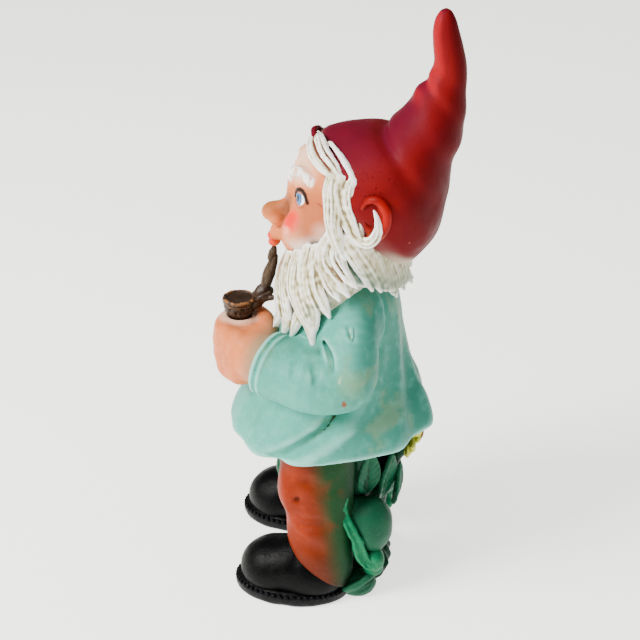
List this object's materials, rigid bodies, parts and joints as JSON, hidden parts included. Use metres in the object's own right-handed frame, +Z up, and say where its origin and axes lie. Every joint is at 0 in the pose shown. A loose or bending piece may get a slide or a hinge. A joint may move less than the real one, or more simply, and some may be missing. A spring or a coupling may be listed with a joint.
{
  "type": "garden gnome",
  "caption": "Hollow painted figure of a bearded gnome in a pointed hat and smock, holding a pipe that turns in its fist, with leaves and a flower behind the legs.",
  "frame": {"origin": "middle of the whole figure's footprint box, on the floor plane under the soles", "axes": "+Z up; the gnome faces -Y; its left hand, which holds the pipe, is on the +X side"},
  "size_m": [0.1466, 0.1551, 0.3985],
  "materials": {
    "pipe_paint": "painted fired clay, satin, dark brown",
    "hat_paint": "painted fired clay, satin crimson with purple shading",
    "skin_paint": "painted fired clay, satin peach with red blush",
    "ear_paint": "painted fired clay, satin red-brown",
    "hair_paint": "painted fired clay, off-white with beige in the grooves",
    "smock_paint": "painted fired clay, satin pale green-blue with pinholes",
    "trouser_paint": "painted fired clay, satin orange-brown",
    "shoe_paint": "painted fired clay, semi-gloss black",
    "petal_paint": "painted fired clay, satin yellow",
    "eye_paint": "painted fired clay, satin brown",
    "leaf_paint": "painted fired clay, satin green, darker in the folds"
  },
  "bodies": {
    "figure": {"beard": "hair_paint", "flower_eye": "eye_paint", "flower_petals": "petal_paint", "flower_stalk": "leaf_paint", "front_leaf": "leaf_paint", "ground_clump": "leaf_paint", "hat": "hat_paint", "head_shell": "skin_paint", "left_ear": "ear_paint", "left_ground_leaf": "leaf_paint", "left_hair_lock": "hair_paint", "left_hand": "skin_paint", "left_leaf": "leaf_paint", "left_leaf_rim": "leaf_paint", "left_leaf_tip": "leaf_paint", "left_shoe": "shoe_paint", "left_sleeve": "smock_paint", "left_sole": "shoe_paint", "left_trouser_leg": "trouser_paint", "nape_hair": "hair_paint", "right_ear": "ear_paint", "right_ground_leaf": "leaf_paint", "right_hair_lock": "hair_paint", "right_hand": "skin_paint", "right_leaf": "leaf_paint", "right_leaf_rim": "leaf_paint", "right_leaf_tip": "leaf_paint", "right_shoe": "shoe_paint", "right_sleeve": "smock_paint", "right_sole": "shoe_paint", "right_trouser_leg": "trouser_paint", "smock_body": "smock_paint", "trouser_seat": "trouser_paint", "upper_leaf_1": "leaf_paint", "upper_leaf_2": "leaf_paint", "upper_leaf_3": "leaf_paint", "upper_leaf_4": "leaf_paint", "upper_leaf_5": "leaf_paint"},
    "pipe": {"pipe_bowl": "pipe_paint", "pipe_rim": "pipe_paint", "pipe_shank": "pipe_paint", "pipe_stem": "pipe_paint", "pipe_mouthpiece": "pipe_paint", "pipe_cord": "pipe_paint"}
  },
  "joints": [
    {"name": "pipe_twist", "type": "hinge", "parent": "figure", "child": "pipe", "pos_m": [0.0023, -0.0636, 0.17], "axis": [0, 0, 1], "range_deg": [-90, 0]}
  ]
}
